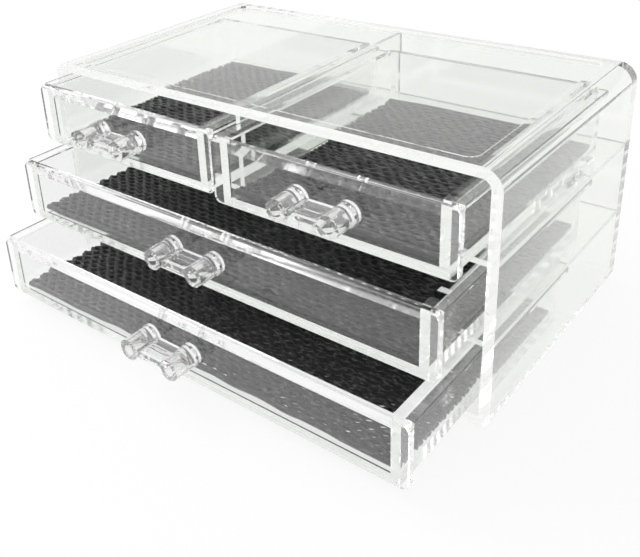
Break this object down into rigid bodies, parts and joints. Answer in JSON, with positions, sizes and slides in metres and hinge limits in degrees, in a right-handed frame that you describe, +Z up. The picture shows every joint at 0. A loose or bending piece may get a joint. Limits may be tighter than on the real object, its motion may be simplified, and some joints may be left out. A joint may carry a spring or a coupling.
{
  "type": "clear drawer organiser",
  "caption": "Clear rounded case with two small drawers side by side over two wide ones, flanged trays that slide on shelves, barrel pulls on the fronts and dark net liners.",
  "frame": {"origin": "centre of the case's underside, on the surface it stands on", "axes": "+X to the right seen from the front, +Y towards the closed back, +Z up; drawers open along -Y"},
  "size_m": [0.238, 0.1946, 0.109],
  "materials": {
    "case_clear": "clear polished acrylic",
    "drawer_clear": "clear polished acrylic",
    "pull_clear": "clear polished acrylic",
    "net_black": "matt black foamed net"
  },
  "bodies": {
    "case": {"case_shell": "case_clear", "lower_shelf": "case_clear", "upper_shelf": "case_clear", "centre_divider": "case_clear"},
    "top_left_drawer": {"top_left_tray": "drawer_clear", "top_left_front": "drawer_clear", "top_left_handle": "pull_clear", "top_left_net_liner": "net_black"},
    "top_right_drawer": {"top_right_tray": "drawer_clear", "top_right_front": "drawer_clear", "top_right_handle": "pull_clear", "top_right_net_liner": "net_black"},
    "middle_drawer": {"middle_tray": "drawer_clear", "middle_front": "drawer_clear", "middle_handle": "pull_clear", "middle_net_liner": "net_black"},
    "bottom_drawer": {"bottom_tray": "drawer_clear", "bottom_front": "drawer_clear", "bottom_handle": "pull_clear", "bottom_net_liner": "net_black"}
  },
  "joints": [
    {"name": "top_left_slide", "type": "slide", "parent": "case", "child": "top_left_drawer", "axis": [0, -1, 0], "range_m": [-0.015, 0.085]},
    {"name": "top_right_slide", "type": "slide", "parent": "case", "child": "top_right_drawer", "axis": [0, -1, 0], "range_m": [-0.019, 0.081]},
    {"name": "middle_slide", "type": "slide", "parent": "case", "child": "middle_drawer", "axis": [0, -1, 0], "range_m": [-0.0312, 0.0688]},
    {"name": "bottom_slide", "type": "slide", "parent": "case", "child": "bottom_drawer", "axis": [0, -1, 0], "range_m": [-0.0492, 0.0508]}
  ]
}
